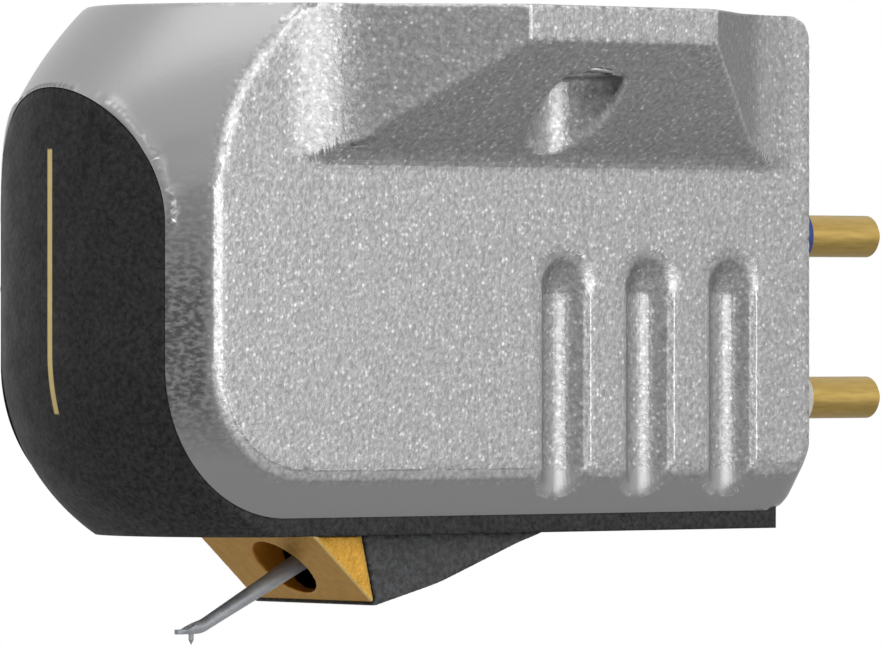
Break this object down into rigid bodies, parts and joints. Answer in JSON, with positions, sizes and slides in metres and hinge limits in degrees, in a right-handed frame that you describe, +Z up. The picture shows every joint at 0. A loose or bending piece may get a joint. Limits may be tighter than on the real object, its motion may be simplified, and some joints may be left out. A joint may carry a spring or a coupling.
{
  "type": "turntable stylus cartridge",
  "caption": "Moving-coil phono cartridge with an eared aluminium body, moulded nose and base, gold-plated yoke, sprung cantilever with a stylus, and rear terminal pins.",
  "frame": {"origin": "midway between the two headshell screw holes, on the top mounting face", "axes": "+Z up out of the mounting face, -X towards the nose, +X towards the terminal pins, -Y is the cartridge's left side"},
  "size_m": [0.0296, 0.0164, 0.0185],
  "materials": {
    "bead_blasted_aluminium": "bead-blasted, clear anodised",
    "black_moulding": "satin, fine texture",
    "fairing_moulding": "matte, fine texture",
    "gold_plate": "gold plate on soft iron",
    "gold_pin": "gold plate on brass",
    "drawn_aluminium": "drawn tube, dull",
    "diamond": "polished",
    "white_collar": "gloss",
    "blue_collar": "gloss",
    "red_collar": "gloss",
    "green_collar": "gloss",
    "magnet_plate": "nickel plated",
    "soft_iron": "machined, oiled",
    "damper_rubber": "matte",
    "copper_winding": "enamelled wire",
    "plain_brass": "turned",
    "steel_wire": "bright drawn",
    "black_steel": "black oxide"
  },
  "bodies": {
    "cartridge": {"body_casting": "bead_blasted_aluminium", "nose_base": "black_moulding", "stylus_fairing": "fairing_moulding", "front_yoke": "gold_plate", "magnet": "magnet_plate", "rear_yoke": "soft_iron", "pole_pin": "soft_iron", "wire_ferrule": "plain_brass", "ferrule_screw": "black_steel", "suspension_wire": "steel_wire", "terminal_block": "black_moulding", "pin_left_signal": "gold_pin", "pin_left_ground": "gold_pin", "pin_right_signal": "gold_pin", "pin_right_ground": "gold_pin", "collar_white": "white_collar", "collar_blue": "blue_collar", "collar_red": "red_collar", "collar_green": "green_collar", "lead_left_signal": "copper_winding", "lead_left_ground": "copper_winding", "lead_right_signal": "copper_winding", "lead_right_ground": "copper_winding"},
    "suspension": {"damper": "damper_rubber"},
    "stylus_arm": {"cantilever": "drawn_aluminium", "stylus": "diamond", "joint_sleeve": "drawn_aluminium", "armature": "soft_iron", "coil_left": "copper_winding", "coil_right": "copper_winding"}
  },
  "joints": [
    {"name": "stylus_lateral", "type": "hinge", "parent": "cartridge", "child": "suspension", "pos_m": [-0.0034, 0, -0.01526], "axis": [0, 0, 1], "range_deg": [-4, 4], "stiffness_Nm_per_rad": 0.003},
    {"name": "stylus_vertical", "type": "hinge", "parent": "suspension", "child": "stylus_arm", "pos_m": [-0.0034, 0, -0.01526], "axis": [0, 1, 0], "range_deg": [-2, 5], "stiffness_Nm_per_rad": 0.003}
  ]
}
